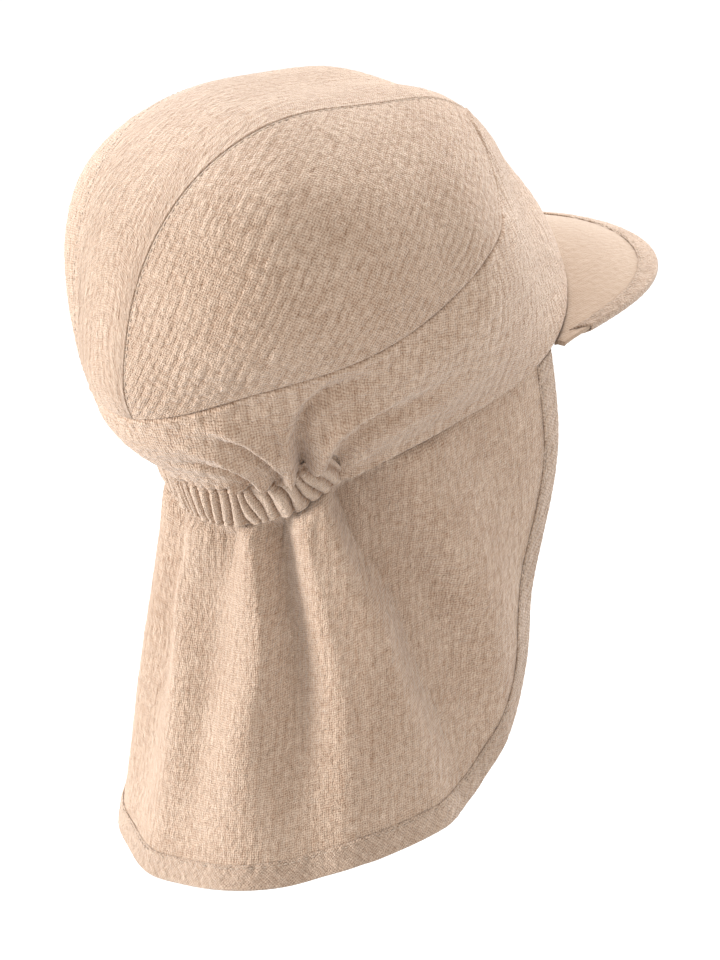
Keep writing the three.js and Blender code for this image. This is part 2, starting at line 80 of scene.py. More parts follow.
# Cloth thicknesses
CLOTH_WALL = 1.6
CASING_WALL = 2.2
FLAP_WALL = 1.0
PEAK_WALL = 1.7
SEAM_GAP = 0.3
TUCK_GAP = 0.8

# Crown
CROWN_FRONT = 98.0
CROWN_SIDE = 80.0
CROWN_BACK = 97.0
CROWN_RISE = 73.0
STRIP_FRONT_HALF = 34.0
STRIP_BACK_HALF = 10.5
STRIP_LEFT_EXTRA = 14.0
STRIP_TAPER = (80.0, 200.0)
STRIP_LENGTH = 235.0
SIDE_LENGTH = 190.0
SIDE_HEIGHT = 88.0
SIDE_GRAIN = 36.0
SIDE_RADIUS = 84.0
SIDE_MIDDLE = (105.0, 20.0)
STRIP_CRINKLE_SHARE = 0.55

# Band
BAND_PUFF = 2.5
BAND_SEAM_PUCKER = 0.7
BAND_EDGE_DIP = 0.6
BROAD_GATHER_DEPTH = 1.6
BAND_LENGTH = 520.0
BAND_HEIGHT = 78.0
BAND_RADIUS = 75.0

# Casing
CASING_HEIGHT = 15.2
CASING_END_TOP = 128.8
CASING_END_BOTTOM = 122.9
CASING_LENGTH = 120.0
CASING_RADIUS = 60.0
CASING_FULLNESS = 1.7
CASING_TUCK = 2.5
TUCKED_LIFT = -2.2
TUCKED_WALL = 0.7
GATHER_PITCH = 4.0
GATHER_DEPTH = 3.5

# Peak
PEAK_REACH = 42.0
PEAK_HALF_WIDTH = 67.0
PEAK_END_ANGLE = 47.0
PEAK_TIP_DROP = 2.5
PEAK_ARCH = 2.5
PEAK_LENGTH = 175.0
PEAK_DEPTH = 46.0
PEAK_TAPE_WIDTH = 7.5

# Flap
FLAP_DROP = 139.0
FLAP_END_ANGLE = 49.5
FLAP_LEAN_BACK = 17.0
FLAP_CORNER = 43.0
FLAP_FLARE = 24.0
FLAP_BELLY = 7.0
FLAP_TILT = 5.0
FLAP_TUCK = 5.0
FLAP_ARC_RADIUS = 80.0
GATHER_LIFT = 0.6

# Tape
BINDING_WIDTH = 9.0
TAPE_PLY = 0.55
BIAS_ANGLE = 45.0
TAPE_CRINKLE = 0.45
TAPE_PUCKER = 0.35
TAPE_SEAM_DIP = 0.55
TAPE_EDGE_CURL = 0.35

# Angles from the front over the top, just below the band's seam in front and at the nape
FRONT_OF_SEAM = 10.0
BACK_OF_SEAM = 215.0

# Seams and stitches; the seam on the wearer's left is pressed flatter
LEFT_SEAM_SHARE = 0.2
STITCH_INSET = 1.1
STITCH_LENGTH = 1.9
STITCH_PITCH = 2.6
STITCH_RADIUS = 0.28
TAPE_STITCH_INSET = 1.3

# Depth of the fine crinkle
CRINKLE_CROWN = 0.95
CRINKLE_BAND = 0.75
CRINKLE_FLAP = 0.6

# Crown radius by latitude: shares of the front, side and back sizes, then front and back corners
CROWN_ROWS = [
    (-60, 1.06, 1.03, 1.15, 0.07, 0.05),
    (-50, 1.08, 1.00, 1.00, 0.07, 0.05),
    (-43, 1.09, 0.985, 0.945, 0.065, 0.02),
    (-28, 1.10, 0.965, 0.995, 0.045, -0.02),
    (-15, 1.07, 0.97, 1.035, 0.015, -0.03),
    (0, 1.00, 1.00, 1.00, -0.08, 0.055),
    (25, 0.84, 1.06, 0.96, -0.12, 0.10),
    (50, 0.80, 1.05, 0.905, 0.01, 0.03),
]
RIM_ROWS = [(0, 0), (40, -10), (75, -26), (110, -38.8), (140, -49), (180, -52.4)]
SEAM_ROWS = [
    (0, 52), (30, 52), (45, 51), (54, 48), (60, 36), (66, 27.5), (84, 15.5), (107, 2),
    (144, -10.8), (165, -17), (180, -19),
]
PUFF_ROWS = [(0, 0.7), (50, 0.8), (90, 1.0), (130, 0.8), (180, 0.9)]
FLAP_ROWS = [
    (49, 0.98, 0.0, 1.0),
    (90, 1.06, 0.58, 0.4),
    (130, 1.05, 0.97, 0.0),
    (152, 1.005, 1.06, 0.0),
    (180, 1.005, 1.05, 0.0),
]
# Crests and troughs of the flap's folds: height, and a path of drop share and bearing. Bearings run from 0
# at the forehead round the wearer's right to 180 at the nape and on round the left.
FOLD_ROWS = [
    (0.0, [(0, 76), (1, 50)]),
    (4.4, [(0, 100), (0.31, 88), (0.55, 78), (1, 70)]),
    (-6.6, [(0, 119), (0.21, 109), (0.35, 99), (0.55, 91), (1, 81)]),
    (-7.4, [(0, 125), (0.09, 122.5), (0.21, 117), (0.35, 107), (0.57, 98.5), (0.76, 91), (1, 86)]),
    (5.6, [(0, 130), (0.05, 128), (0.18, 123), (0.29, 120), (0.42, 113), (0.53, 110), (1, 97)]),
    (5.0, [(0, 135), (0.06, 133.5), (0.14, 132), (0.24, 129), (0.35, 126.5), (0.47, 123.5), (1, 120)]),
    (-6.4, [(0, 147), (0.04, 146), (0.09, 144.5), (0.2, 143), (0.31, 140.5), (0.58, 137), (1, 132)]),
    (4.4, [(0, 157), (0.07, 154), (0.17, 152), (0.27, 149.5), (0.38, 149), (0.54, 152), (1, 151)]),
    (-3.0, [(0, 165), (0.07, 165), (0.17, 169), (0.39, 170), (1, 171)]),
    (3.2, [(0, 184), (0.1, 184), (0.22, 188), (0.41, 184), (1, 183)]),
    (-2.4, [(0, 196), (1, 198)]),
    (4.4, [(0, 209), (1, 212)]),
    (-3.0, [(0, 237), (1, 262)]),
    (3.2, [(0, 262), (1, 288)]),
    (0.0, [(0, 290), (1, 312)]),
]


def smoothstep(value, low, high):
    t = np.clip((value - low) / (high - low), 0, 1)
    return t * t * (3 - 2 * t)


def mix(a, b, t):
    return a + (b - a) * t


def curve(rows, column=1, flat_start=True, flat_end=True):
    """A smooth curve through the rows of a table, as a function of an array."""
    x = np.array([row[0] for row in rows], float)
    y = np.array([row[column] for row in rows], float)
    step = np.diff(x)
    rise = np.diff(y) / step
    slope = np.zeros_like(y)
    slope[1:-1] = (rise[:-1] * step[1:] + rise[1:] * step[:-1]) / (step[:-1] + step[1:])
    slope[0] = 0 if flat_start else rise[0]
    slope[-1] = 0 if flat_end else rise[-1]

    def at(value):
        v = np.clip(value, x[0], x[-1])
        i = np.clip(np.searchsorted(x, v) - 1, 0, len(x) - 2)
        t = (v - x[i]) / step[i]
        near = (1 + 2 * t) * (1 - t) ** 2 * y[i] + t * (1 - t) ** 2 * step[i] * slope[i]
        far = t * t * (3 - 2 * t) * y[i + 1] + t * t * (t - 1) * step[i] * slope[i + 1]
        return near + far

    return at


# Repeatable noise from whole-number hashing
def lattice(ix, iy, seed):
    n = (ix * 374761393 + iy * 668265263 + seed * 974634777) & 0xFFFFFFFF
    n = ((n ^ (n >> 13)) * 1274126177) & 0xFFFFFFFF
    n = ((n ^ (n >> 16)) * 2246822519) & 0xFFFFFFFF
    return ((n ^ (n >> 15)) & 0xFFFF) / 32767.5 - 1


def noise(x, y, seed):
    ix, iy = np.floor(x).astype(np.int64), np.floor(y).astype(np.int64)
    fx, fy = x - ix, y - iy
    sx, sy = fx**3 * (fx * (6 * fx - 15) + 10), fy**3 * (fy * (6 * fy - 15) + 10)
    low = mix(lattice(ix, iy, seed), lattice(ix + 1, iy, seed), sx)
    high = mix(lattice(ix, iy + 1, seed), lattice(ix + 1, iy + 1, seed), sx)
    return mix(low, high, sy)


def crinkle(across, along, seed, pitch=3.4, length=5.0):
    """Height of crinkled cloth: puckers in rows along the grain, 0 in the creases, about 1 between them."""
    sway = 0.4 * noise(across / 9, along / 16, seed) + 0.14 * noise(across / 3.5, along / 5, seed + 1)
    row = across / pitch + sway
    even = np.abs(np.sin(np.pi * row))
    loose = np.minimum(2.2 * np.abs(noise(across / (0.8 * pitch), along / (1.6 * length), seed + 2)), 1)
    blend = 0.35 + 0.12 * noise(across / 22, along / 25, seed + 3)
    ridge = mix(even, loose, blend) ** 0.6
    place = along / length + 5 * noise(np.floor(row) * 0.71, along / 31, seed + 4)
    broken = np.abs(np.sin(np.pi * (place + 0.3 * noise(across / 3, along / 4, seed + 5)))) ** 0.5
    fine = np.minimum(2 * np.abs(noise(across / 1.7, along / 2.2, seed + 6)), 1) ** 0.6
    strength = 0.85 + 0.2 * noise(across / 13, along / 16, seed + 7)
    return np.clip(strength * ridge * mix(1, broken, 0.55), 0, 1.2) * 0.82 + 0.18 * fine


# The crown's outer surface
CENTRE = np.array([0, 0, CLOTH_WALL - CROWN_RISE])
SIZES = (CROWN_FRONT, CROWN_SIDE, CROWN_BACK, 1, 1)
SIZED = [(row[0], *(share * size for share, size in zip(row[1:], SIZES))) for row in CROWN_ROWS]
SIZED.append((90, CROWN_RISE, CROWN_RISE, CROWN_RISE, 0, 0))
front_radius, side_radius, back_radius, front_corner, back_corner = (
    curve(SIZED, column, False, True) for column in range(1, 6)
)


def direction(theta, phi):
    level = np.cos(phi)
    return np.stack([level * np.sin(theta), -level * np.cos(theta), np.sin(phi) + 0 * theta], -1)


def unit(v):
    return v / np.linalg.norm(v, axis=-1, keepdims=True)


def angles_of(d):
    return np.arctan2(d[..., 0], -d[..., 1]), np.arctan2(d[..., 2], np.hypot(d[..., 0], d[..., 1]))


def crown_radius(d):
    theta, phi = angles_of(d)
    latitude = np.degrees(phi)
    ahead = np.cos(theta) > 0
    lengthways = np.where(ahead, front_radius(latitude), back_radius(latitude))
    fullness = np.where(ahead, front_corner(latitude), back_corner(latitude))
    plain = 1 / np.hypot(np.cos(theta) / lengthways, np.sin(theta) / side_radius(latitude))
    return plain * (1 + fullness * np.sin(2 * theta) ** 2)


def on_crown(d):
    return d * crown_radius(d)[..., None] + CENTRE


def crown_normal(d):
    nudge = 0.004
    level = np.where(np.abs(d[..., 2:]) < 0.9, [[0.0, 0.0, 1.0]], [[1.0, 0.0, 0.0]])
    first = unit(np.cross(level, d))
    second = np.cross(d, first)
    moves = (nudge * first, nudge * second)
    slopes = [on_crown(unit(d + move)) - on_crown(unit(d - move)) for move in moves]
    return unit(np.cross(*slopes))


rim_latitude = curve(RIM_ROWS)
seam_latitude = curve(SEAM_ROWS)
puff_share = curve(PUFF_ROWS)


def off_front(theta):
    return np.abs((np.degrees(theta) + 540) % 360 - 180)


def rim_phi(theta):
    return np.radians(rim_latitude(off_front(theta)))


def seam_phi(theta):
    return np.radians(seam_latitude(off_front(theta)))


def seam_lean(theta):
    """Distance square to the band's seam as a share of the distance up or down to it."""
    nudge = 0.02
    rise = seam_phi(theta + nudge) - seam_phi(theta - nudge)
    return 1 / np.hypot(1, rise / (2 * nudge * np.cos(seam_phi(theta))))


def spread(length, theta, phi):
    return length / crown_radius(direction(theta, phi))


def casing_top_phi(theta):
    return rim_phi(theta) + spread(CASING_HEIGHT, theta, rim_phi(theta))


def band_low_phi(theta):
    towards = (off_front(theta) - CASING_END_BOTTOM) / (CASING_END_TOP - CASING_END_BOTTOM)
    return mix(rim_phi(theta), casing_top_phi(theta), np.clip(towards, 0, 1))


def strip_half(angle, side):
    half = mix(STRIP_FRONT_HALF, STRIP_BACK_HALF, smoothstep(angle, *STRIP_TAPER))
    return half + np.where(np.asarray(side) > 0, STRIP_LEFT_EXTRA, 0)


def across_crown(angle, across):
    turn = np.radians(angle)
    base = np.stack([0 * turn, -np.cos(turn), np.sin(turn)], -1)
    sideways = 0 * turn
    for _ in range(10):
        aim = base + np.stack([sideways, 0 * turn, 0 * turn], -1)
        sideways = across * np.linalg.norm(aim, axis=-1) / crown_radius(unit(aim))
    return unit(base + np.stack([sideways, 0 * turn, 0 * turn], -1))


def seam_meet(share, beyond):
    """Sagittal angle and bearing where a line at a share of the strip's half width meets the band's seam.
    A minus share is on the wearer's right."""
    share = np.asarray(share, float)
    above, below = np.full_like(share, 90.0), np.full_like(share, beyond)
    for _ in range(30):
        middle = (above + below) / 2
        theta, phi = angles_of(across_crown(middle, share * strip_half(middle, share)))
        over = phi > seam_phi(theta)
        above, below = np.where(over, middle, above), np.where(over, below, middle)
    theta, _ = angles_of(across_crown(above, share * strip_half(above, share)))
    return above, off_front(theta)


# Meshes
def make_mesh(name, points, faces, uv, height=None):
    """faces is (count, 4) of corners, and uv gives two numbers for each face corner, in millimetres."""
    mesh = bpy.data.meshes.new(name)
    mesh.vertices.add(len(points))
    mesh.vertices.foreach_set("co", (np.asarray(points, np.float32) * MM).ravel())
    mesh.loops.add(faces.size)
    mesh.loops.foreach_set("vertex_index", faces.astype(np.int32).ravel())
    mesh.polygons.add(len(faces))
    mesh.polygons.foreach_set("loop_start", np.arange(0, faces.size, faces.shape[1], dtype=np.int32))
    mesh.polygons.foreach_set("use_smooth", np.ones(len(faces), bool))
    mesh.update(calc_edges=True)
    layer = mesh.uv_layers.new(name="cloth")
    layer.uv.foreach_set("vector", (np.asarray(uv, np.float32) * UV_PER_MM).ravel())
    if height is not None:
        layer = mesh.attributes.new("height", "FLOAT", "POINT")
        layer.data.foreach_set("value", np.asarray(height, np.float32).ravel())
    mesh.validate()
    piece = bpy.data.objects.new(name, mesh)
    bpy.context.scene.collection.objects.link(piece)
    return piece


def shell(name, outer, inner, flat, height, around=False):
    """A closed cloth body from two grids of points. Where it goes around, flat has one column more."""
    n, m = outer.shape[:2]
    points = np.concatenate([outer.reshape(-1, 3), inner.reshape(-1, 3)])
    spans = n if around else n - 1
    i, j = np.meshgrid(np.arange(spans), np.arange(m - 1), indexing="ij")
    i, j = i.ravel(), j.ravel()
    k = (i + 1) % n

    def corner(column, row, under=0):
        return column * m + row + under * n * m

    top = np.stack([corner(i, j), corner(k, j), corner(k, j + 1), corner(i, j + 1)], -1)
    low = np.stack([corner(i, j, 1), corner(i, j + 1, 1), corner(k, j + 1, 1), corner(k, j, 1)], -1)
    a = np.arange(spans)
    b = (a + 1) % n
    last = m - 1
    edges = [
        np.stack([corner(a, 0), corner(a, 0, 1), corner(b, 0, 1), corner(b, 0)], -1),
        np.stack([corner(a, last), corner(b, last), corner(b, last, 1), corner(a, last, 1)], -1),
    ]
    here, there = flat[:spans], flat[1:spans + 1]
    uv = [
        np.stack([flat[i, j], flat[i + 1, j], flat[i + 1, j + 1], flat[i, j + 1]], 1),
        np.stack([flat[i, j], flat[i, j + 1], flat[i + 1, j + 1], flat[i + 1, j]], 1),
        np.stack([here[:, 0], here[:, 0], there[:, 0], there[:, 0]], 1),
        np.stack([here[:, last], there[:, last], there[:, last], here[:, last]], 1),
    ]
    if not around:
        r = np.arange(last)
        end = 0 * r + n - 1
        first_edge = [corner(0 * r, r), corner(0 * r, r + 1), corner(0 * r, r + 1, 1), corner(0 * r, r, 1)]
        last_edge = [corner(end, r), corner(end, r, 1), corner(end, r + 1, 1), corner(end, r + 1)]
        edges += [np.stack(first_edge, -1), np.stack(last_edge, -1)]
        uv.append(np.stack([flat[0, :-1], flat[0, 1:], flat[0, 1:], flat[0, :-1]], 1))
        uv.append(np.stack([flat[-1, :-1], flat[-1, :-1], flat[-1, 1:], flat[-1, 1:]], 1))
    faces = np.concatenate([top, low, *edges])
    uv = np.concatenate(uv)
    p = points[faces[:, :3]]
    q = points[faces[:, [0, 2, 3]]]
    volume = sum((np.cross(t[:, 1], t[:, 2]) * t[:, 0]).sum() for t in (p, q))
    if volume < 0:
        faces, uv = faces[:, ::-1], uv[:, ::-1]
    return make_mesh(name, points, faces, uv, np.concatenate([height.ravel(), height.ravel()]))


def grid(low, high, step, length):
    """Evenly spread values with about one step of millimetres between them."""
    return np.linspace(low, high, max(int(round(length / step)), 2) + 1)


def row_distances(points):
    """Distance along each column from its first and from its last point."""
    steps = np.linalg.norm(np.diff(points, axis=1), axis=-1)
    down = np.concatenate([np.zeros((len(points), 1)), np.cumsum(steps, axis=1)], axis=1)
    return down, down[:, -1:] - down


def rounded(distance, radius):
    """Share of the full wall near a rounded edge."""
    return np.sqrt(np.clip(1 - np.clip(1 - distance / radius, 0, 1) ** 2, 0.02, 1))


def crown_wall(dirs, lift, wall):
    place, normal = on_crown(dirs), crown_normal(dirs)
    return place + normal * lift[..., None], place + normal * (lift - wall)[..., None]


def turned(x, y, degrees):
    c, s = math.cos(math.radians(degrees)), math.sin(math.radians(degrees))
    return c * x - s * y, s * x + c * y


def dress(piece, node, material):
    """Sets a piece up as the dressed form of a solid."""
    piece.data.materials.append(material)
    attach(piece, "root")
    if node:
        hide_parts(node)
    return piece


# Crown
def beside_seam(distance, groove, welt, welt_at=1.2):
    """The dip of cloth into a seam and the small welt beside it."""
    dip = -groove * np.exp(-((distance / 0.5) ** 2))
    return dip + welt * np.exp(-(((distance - welt_at) / 0.6) ** 2))


def centre_panel(step):
    samples = np.linspace(-1, 1, 61)
    front, _ = seam_meet(samples, FRONT_OF_SEAM)
    back, _ = seam_meet(samples, BACK_OF_SEAM)
    left_width = STRIP_FRONT_HALF + STRIP_LEFT_EXTRA
    shares = np.concatenate([grid(-1, 0, step, STRIP_FRONT_HALF)[:-1], grid(0, 1, step, left_width)])
    s = grid(0, 1, step, STRIP_LENGTH)
    first = np.interp(shares, samples, front)[:, None]
    last = np.interp(shares, samples, back)[:, None]
    angle = mix(first, last, s[None, :])
    half = strip_half(angle, shares[:, None])
    across = shares[:, None] * half
    dirs = across_crown(angle, across)
    along, left = row_distances(on_crown(dirs))
    edge = half - np.abs(across)
    height = crinkle(across, along, 11, pitch=3.6, length=9.0)
    ends = np.minimum(along, left)
    firmness = np.where(shares < 0, 1.0, LEFT_SEAM_SHARE)[:, None]
    lift = STRIP_CRINKLE_SHARE * CRINKLE_CROWN * (height - 0.5) * smoothstep(np.minimum(edge, ends), 0.5, 3)
    lift += firmness * beside_seam(edge, 0.0, 0.3, 0.5) + beside_seam(ends, 0.6, 0.0)
    outer, inner = crown_wall(dirs, lift, CLOTH_WALL)
    flat = np.stack([across, along], -1)
    return shell("crown_centre_cloth", outer, inner, flat, height)


def side_cloth_place(dirs, side):
    """Flat place of a point of a side panel, measured from the panel's middle, turned to the grain."""
    bearing, latitude = SIDE_MIDDLE
    middle = direction(np.radians(side * bearing), np.radians(latitude))
    back = unit(np.array([0.0, 1.0, 0.0]) - middle * middle[1])
    up = np.cross(middle, back) * -side
    cosine = np.clip(dirs @ middle, -1, 1)
    angle = np.arccos(cosine)
    reach = SIDE_RADIUS * angle / np.maximum(np.sin(angle), 1e-6)
    return turned((dirs @ back) * reach, (dirs @ up) * reach, SIDE_GRAIN)


def side_dirs(side, stations, rows, front, back):
    """Directions over a side panel: a column for each bearing, rows from the strip down to the band."""
    s = (stations - front[1]) / (back[1] - front[1])
    angle = mix(front[0], back[0], s)
    upper = across_crown(angle, side * strip_half(angle, side))
    theta = side * np.radians(stations)
    lower = direction(theta, seam_phi(theta))
    pointed = ((s <= 0) | (s >= 1))[:, None]
    lower = np.where(pointed, upper, lower)
    return unit(mix(upper[:, None], lower[:, None], rows[None, :, None]))


def seam_ends(side):
    """Sagittal angle and bearing of the two ends of a side panel."""
    ends = (seam_meet(float(side), beyond) for beyond in (FRONT_OF_SEAM, BACK_OF_SEAM))
    return [(float(angle), float(bearing)) for angle, bearing in ends]


def side_panel(side, step):
    front, back = seam_ends(side)
    stations = grid(front[1], back[1], step, SIDE_LENGTH)
    rows = grid(0, 1, step, SIDE_HEIGHT)
    dirs = side_dirs(side, stations, rows, front, back)
    theta = side * np.radians(stations)[:, None]
    down, up = row_distances(on_crown(dirs))
    across, along = side_cloth_place(dirs, side)
    height = crinkle(across, along, 23 + side)
    lift = CRINKLE_CROWN * (height - 0.5) * smoothstep(np.minimum(down, up), 0.5, 3)
    firmness = 1.0 if side < 0 else LEFT_SEAM_SHARE
    lift += firmness * beside_seam(down, 0.1, 0.0) + beside_seam(up * seam_lean(theta), 0.8, 0.15)
    pits = 0.5 + 0.5 * np.cos(2 * np.pi * np.arange(len(stations))[:, None] * step / STITCH_PITCH)
    lift -= firmness * 0.3 * pits * np.exp(-(((down - STITCH_INSET) / 0.5) ** 2))
    outer, inner = crown_wall(dirs, lift, CLOTH_WALL)
    name = "crown_side_cloth_right" if side < 0 else "crown_side_cloth_left"
    return shell(name, outer, inner, np.stack([across, along], -1), height)


# Creases of the band: half width and height in millimetres, and a path of bearing and latitude that runs
# towards the casing, where the crease is strongest. The wearer's left has the same ones turned over.
BAND_CREASES = [
    (2.8, 3.3, [(165, -18.4), (157, -17.9), (152, -19.1), (147, -22.4), (143, -27.6), (140, -34),
                (139, -40)]),
    (1.7, -2.7, [(162, -21.5), (155, -21.6), (149, -24.7), (145, -30.1), (143, -35.2), (141.5, -41)]),
    (2.4, 3.0, [(171, -25.9), (162, -25.1), (156, -26.8), (151, -30.9), (149, -36.3), (147, -42)]),
    (1.7, -2.7, [(180, -30.1), (169, -29.9), (162, -30.6), (156, -33.2), (152, -37.9), (151, -42)]),
    (2.2, 1.8, [(182, -36.0), (172, -36.2), (163, -37.6), (158, -40.0), (156, -43)]),
    (2.6, -5.1, [(104, -4.4), (119, -8.5), (127, -11.3), (132, -16.0), (134.5, -22.0), (135, -39)]),
    (1.6, 2.7, [(140, -17.0), (138.5, -24.0), (138, -39)]),
    (3.2, 5.4, [(92, -9.6), (109, -15.7), (119, -18.7), (125, -22.2), (128, -26.9), (130.5, -39)]),
    (5.0, -4.8, [(80, -5.6), (92, -13.4), (104, -19.3), (116, -24.9), (122, -30.7), (125, -38.6)]),
    (2.6, 1.35, [(58, -16.0), (74, -24.5), (90, -31.3), (107, -37.6), (119, -42.5)]),
]


def crease_lift(x, y, rows):
    """Height that the creases give at a place of the band."""
    total = np.zeros_like(x)
    for width, high, points in rows:
        best = np.full_like(x, 1e9)
        along = np.zeros_like(x)
        corners = np.radians(np.array(points, float)) * BAND_RADIUS
        count = len(points) - 1
        for n in range(count):
            (x0, y0), (x1, y1) = corners[n], corners[n + 1]
            dx, dy = x1 - x0, y1 - y0
            t = np.clip(((x - x0) * dx + (y - y0) * dy) / (dx * dx + dy * dy), 0, 1)
            away = np.hypot(x - x0 - t * dx, y - y0 - t * dy)
            near = away < best
            best = np.where(near, away, best)
            along = np.where(near, (n + t) / count, along)
        total += high * np.exp(-((best / width) ** 2)) * smoothstep(along, 0, 0.6)
    return total


def casing_arc(degrees):
    """Distance along the casing from the nape."""
    return np.radians(degrees - 180) * CASING_RADIUS


def casing_phase(arc, row):
    """Count of gathers from the nape. They lean over towards the casing's ends. row is 0 at the top."""
    lean = 9.0 * np.sign(arc) * smoothstep(np.abs(arc), 12, 50) * (row - 0.5)
    return (arc - lean) / GATHER_PITCH + 0.8 * noise(arc / 7, 0.6 * row + 0 * arc, 51)


def band_lift(theta, down, below_seam, above_edge):
    around = off_front(theta)
    puff = smoothstep(down, 0, 0.3) * (1 - smoothstep(down, 0.6, 0.97))
    lift = BAND_PUFF * puff_share(around) * puff
    gathered = smoothstep(around, CASING_END_BOTTOM - 3, CASING_END_TOP + 4)
    phase = casing_phase(casing_arc(np.degrees(theta)), 0.0)
    wave = np.abs(np.sin(np.pi * phase)) ** 0.6
    broad = np.abs(np.sin(np.pi * (phase / 2.5 + 0.5 * noise(phase / 3, above_edge / 9, 41)))) ** 0.7
    lift += gathered * np.exp(-((above_edge / 4.0) ** 2)) * 0.5 * GATHER_DEPTH * (wave - 0.45)
    lift += gathered * np.exp(-((above_edge / 10.0) ** 2)) * BROAD_GATHER_DEPTH * (broad - 0.35)
    lift -= gathered * BAND_EDGE_DIP * np.exp(-((above_edge / 1.1) ** 2))
    seam_pucker = np.exp(-((below_seam / 6.0) ** 2)) * smoothstep(below_seam, 0, 1.5)
    lift += BAND_SEAM_PUCKER * seam_pucker * noise(theta * BAND_RADIUS / 2.6, below_seam / 9, 43)
    return lift


def head_band(step):
    theta = grid(0, 2 * np.pi, step, BAND_LENGTH)[:-1]
    rows = grid(0, 1, step, BAND_HEIGHT)
    high = seam_phi(theta)[:, None]
    low = band_low_phi(theta)[:, None]
    phi = mix(high, low, rows[None, :])
    whole = theta[:, None] + 0 * phi
    dirs = direction(whole, phi)
    below, above = row_distances(on_crown(dirs))
    x, y = whole * BAND_RADIUS, phi * BAND_RADIUS
    height = crinkle(x, y, 31, pitch=3.6, length=4.2)
    lift = band_lift(whole, rows[None, :], below, above)
    lift += CRINKLE_BAND * (height - 0.5) * smoothstep(np.minimum(below, above), 0.3, 2.5)
    lift += beside_seam(below * seam_lean(theta)[:, None], 0.7, 0.25)
    turned_x = np.where(x > np.pi * BAND_RADIUS, 2 * np.pi * BAND_RADIUS - x, x)
    lift += crease_lift(turned_x, y, BAND_CREASES)
    wall = CLOTH_WALL * rounded(above, 0.8)
    outer, inner = crown_wall(dirs, lift - (CLOTH_WALL - wall) / 2, wall)
    flat = np.stack([x, y], -1)
    closing = flat[:1] + [2 * np.pi * BAND_RADIUS, 0.0]
    return shell("head_band_cloth", outer, inner, np.concatenate([flat, closing]), height, True)


def elastic_casing(step):
    """The ruched casing. Its top and its ends run on under the band."""
    s = grid(-CASING_TUCK, CASING_LENGTH + CASING_TUCK, step, CASING_LENGTH) / CASING_LENGTH
    rows = grid(-CASING_TUCK, CASING_HEIGHT, step, CASING_HEIGHT + CASING_TUCK) / CASING_HEIGHT
    end = mix(CASING_END_TOP, CASING_END_BOTTOM, rows)[None, :]
    around = mix(end, 360 - end, s[:, None])
    theta = np.radians(around)
    phi = mix(casing_top_phi(theta), rim_phi(theta), rows[None, :])
    dirs = direction(theta, phi)
    down = rows[None, :] * CASING_HEIGHT + 0 * around
    up = CASING_HEIGHT - down
    from_end = np.minimum(s, 1 - s)[:, None] * CASING_LENGTH
    inside = np.minimum(down, from_end)
    bare = smoothstep(inside, -0.8, 0.4)
    arc = casing_arc(around)
    phase = casing_phase(arc, rows[None, :])
    strength = 0.8 + 0.5 * noise(0.6 * phase, 0 * arc, 52)
    wave = np.abs(np.sin(np.pi * phase)) ** 0.55
    middle = np.sin(np.pi * np.clip(rows, 0.08, 0.92))[None, :] ** 0.6
    lift = GATHER_DEPTH * (wave * strength - 0.45) * (0.55 + 0.45 * middle)
    lift = lift * smoothstep(from_end, 0, 2.0)
    lift -= 0.4 * np.exp(-(((down - 1.6) / 0.6) ** 2)) + 0.4 * np.exp(-(((up - 1.6) / 0.6) ** 2))
    grain = crinkle(arc * CASING_FULLNESS, down, 53)
    lift = mix(TUCKED_LIFT, lift + 0.15 * (grain - 0.5), bare)
    full_wall = mix(TUCKED_WALL, CASING_WALL, bare)
    wall = full_wall * rounded(np.minimum(inside + CASING_TUCK, up), 0.9)
    outer, inner = crown_wall(dirs, lift - (full_wall - wall) / 2, wall)
    # Height attribute for the colour: the gather valleys go below 0, darker than the crease colour, as
    # painted shade.
    height = 1.9 * mix(wave, grain, 0.2) - 0.7
    return shell("casing_cloth", outer, inner, np.stack([arc * CASING_FULLNESS, down], -1), height)


# Peak
def peak_root(share):
    theta = np.radians(share * PEAK_END_ANGLE)
    dirs = direction(theta, rim_phi(theta))
    _, inner = crown_wall(dirs, np.zeros_like(theta), CLOTH_WALL)
    return inner - [0, 0, SEAM_GAP]


PEAK_END = peak_root(np.array([1.0]))[0]
PEAK_TIP = peak_root(np.array([0.0]))[0] + [0, -PEAK_REACH, -PEAK_TIP_DROP]


def peak_edge(share):
    turn = share * np.pi / 2
    in_front = np.clip(np.cos(turn), 0, 1)
    width = np.where(np.abs(share) >= 1, PEAK_END[0], PEAK_HALF_WIDTH * np.sin(np.abs(turn)))
    return np.stack([
        np.sign(share) * width,
        mix(PEAK_END[1], PEAK_TIP[1], in_front**0.7),
        mix(PEAK_END[2], PEAK_TIP[2], in_front**0.5),
    ], -1)


def peak_surface(share, back):
    root, edge = peak_root(share), peak_edge(share)
    length = np.maximum(np.linalg.norm(root - edge, axis=-1), 0.01)
    t = 1 - back / length
    arch = PEAK_ARCH * np.sin(np.pi * np.clip(t, 0, 1)) * np.cos(share * np.pi / 2)
    place = mix(root, edge, t[..., None])
    place[..., 2] += arch
    return place


def peak(step):
    spaced = grid(-1, 1, step, PEAK_LENGTH)
    shares = np.sin(spaced * np.pi / 2)[:, None]
    rows = grid(0, 1, step, PEAK_DEPTH)[None, :]
    depth = np.linalg.norm(peak_root(shares) - peak_edge(shares), axis=-1)
    back = depth * (1 - rows)
    shares = shares + 0 * back
    top = peak_surface(shares, back)
    height = crinkle(top[..., 0], top[..., 1], 61)
    lift = 0.22 * (height - 0.5)
    away = depth - back
    lift -= 0.6 * np.exp(-((away / 1.2) ** 2))
    wall = PEAK_WALL * rounded(back + 0.05, 1.0)
    outer = top + np.stack([0 * lift, 0 * lift, lift - (PEAK_WALL - wall) / 2], -1)
    inner = outer - np.stack([0 * wall, 0 * wall, wall], -1)
    return shell("peak_cloth", outer, inner, top[..., :2].copy(), height)


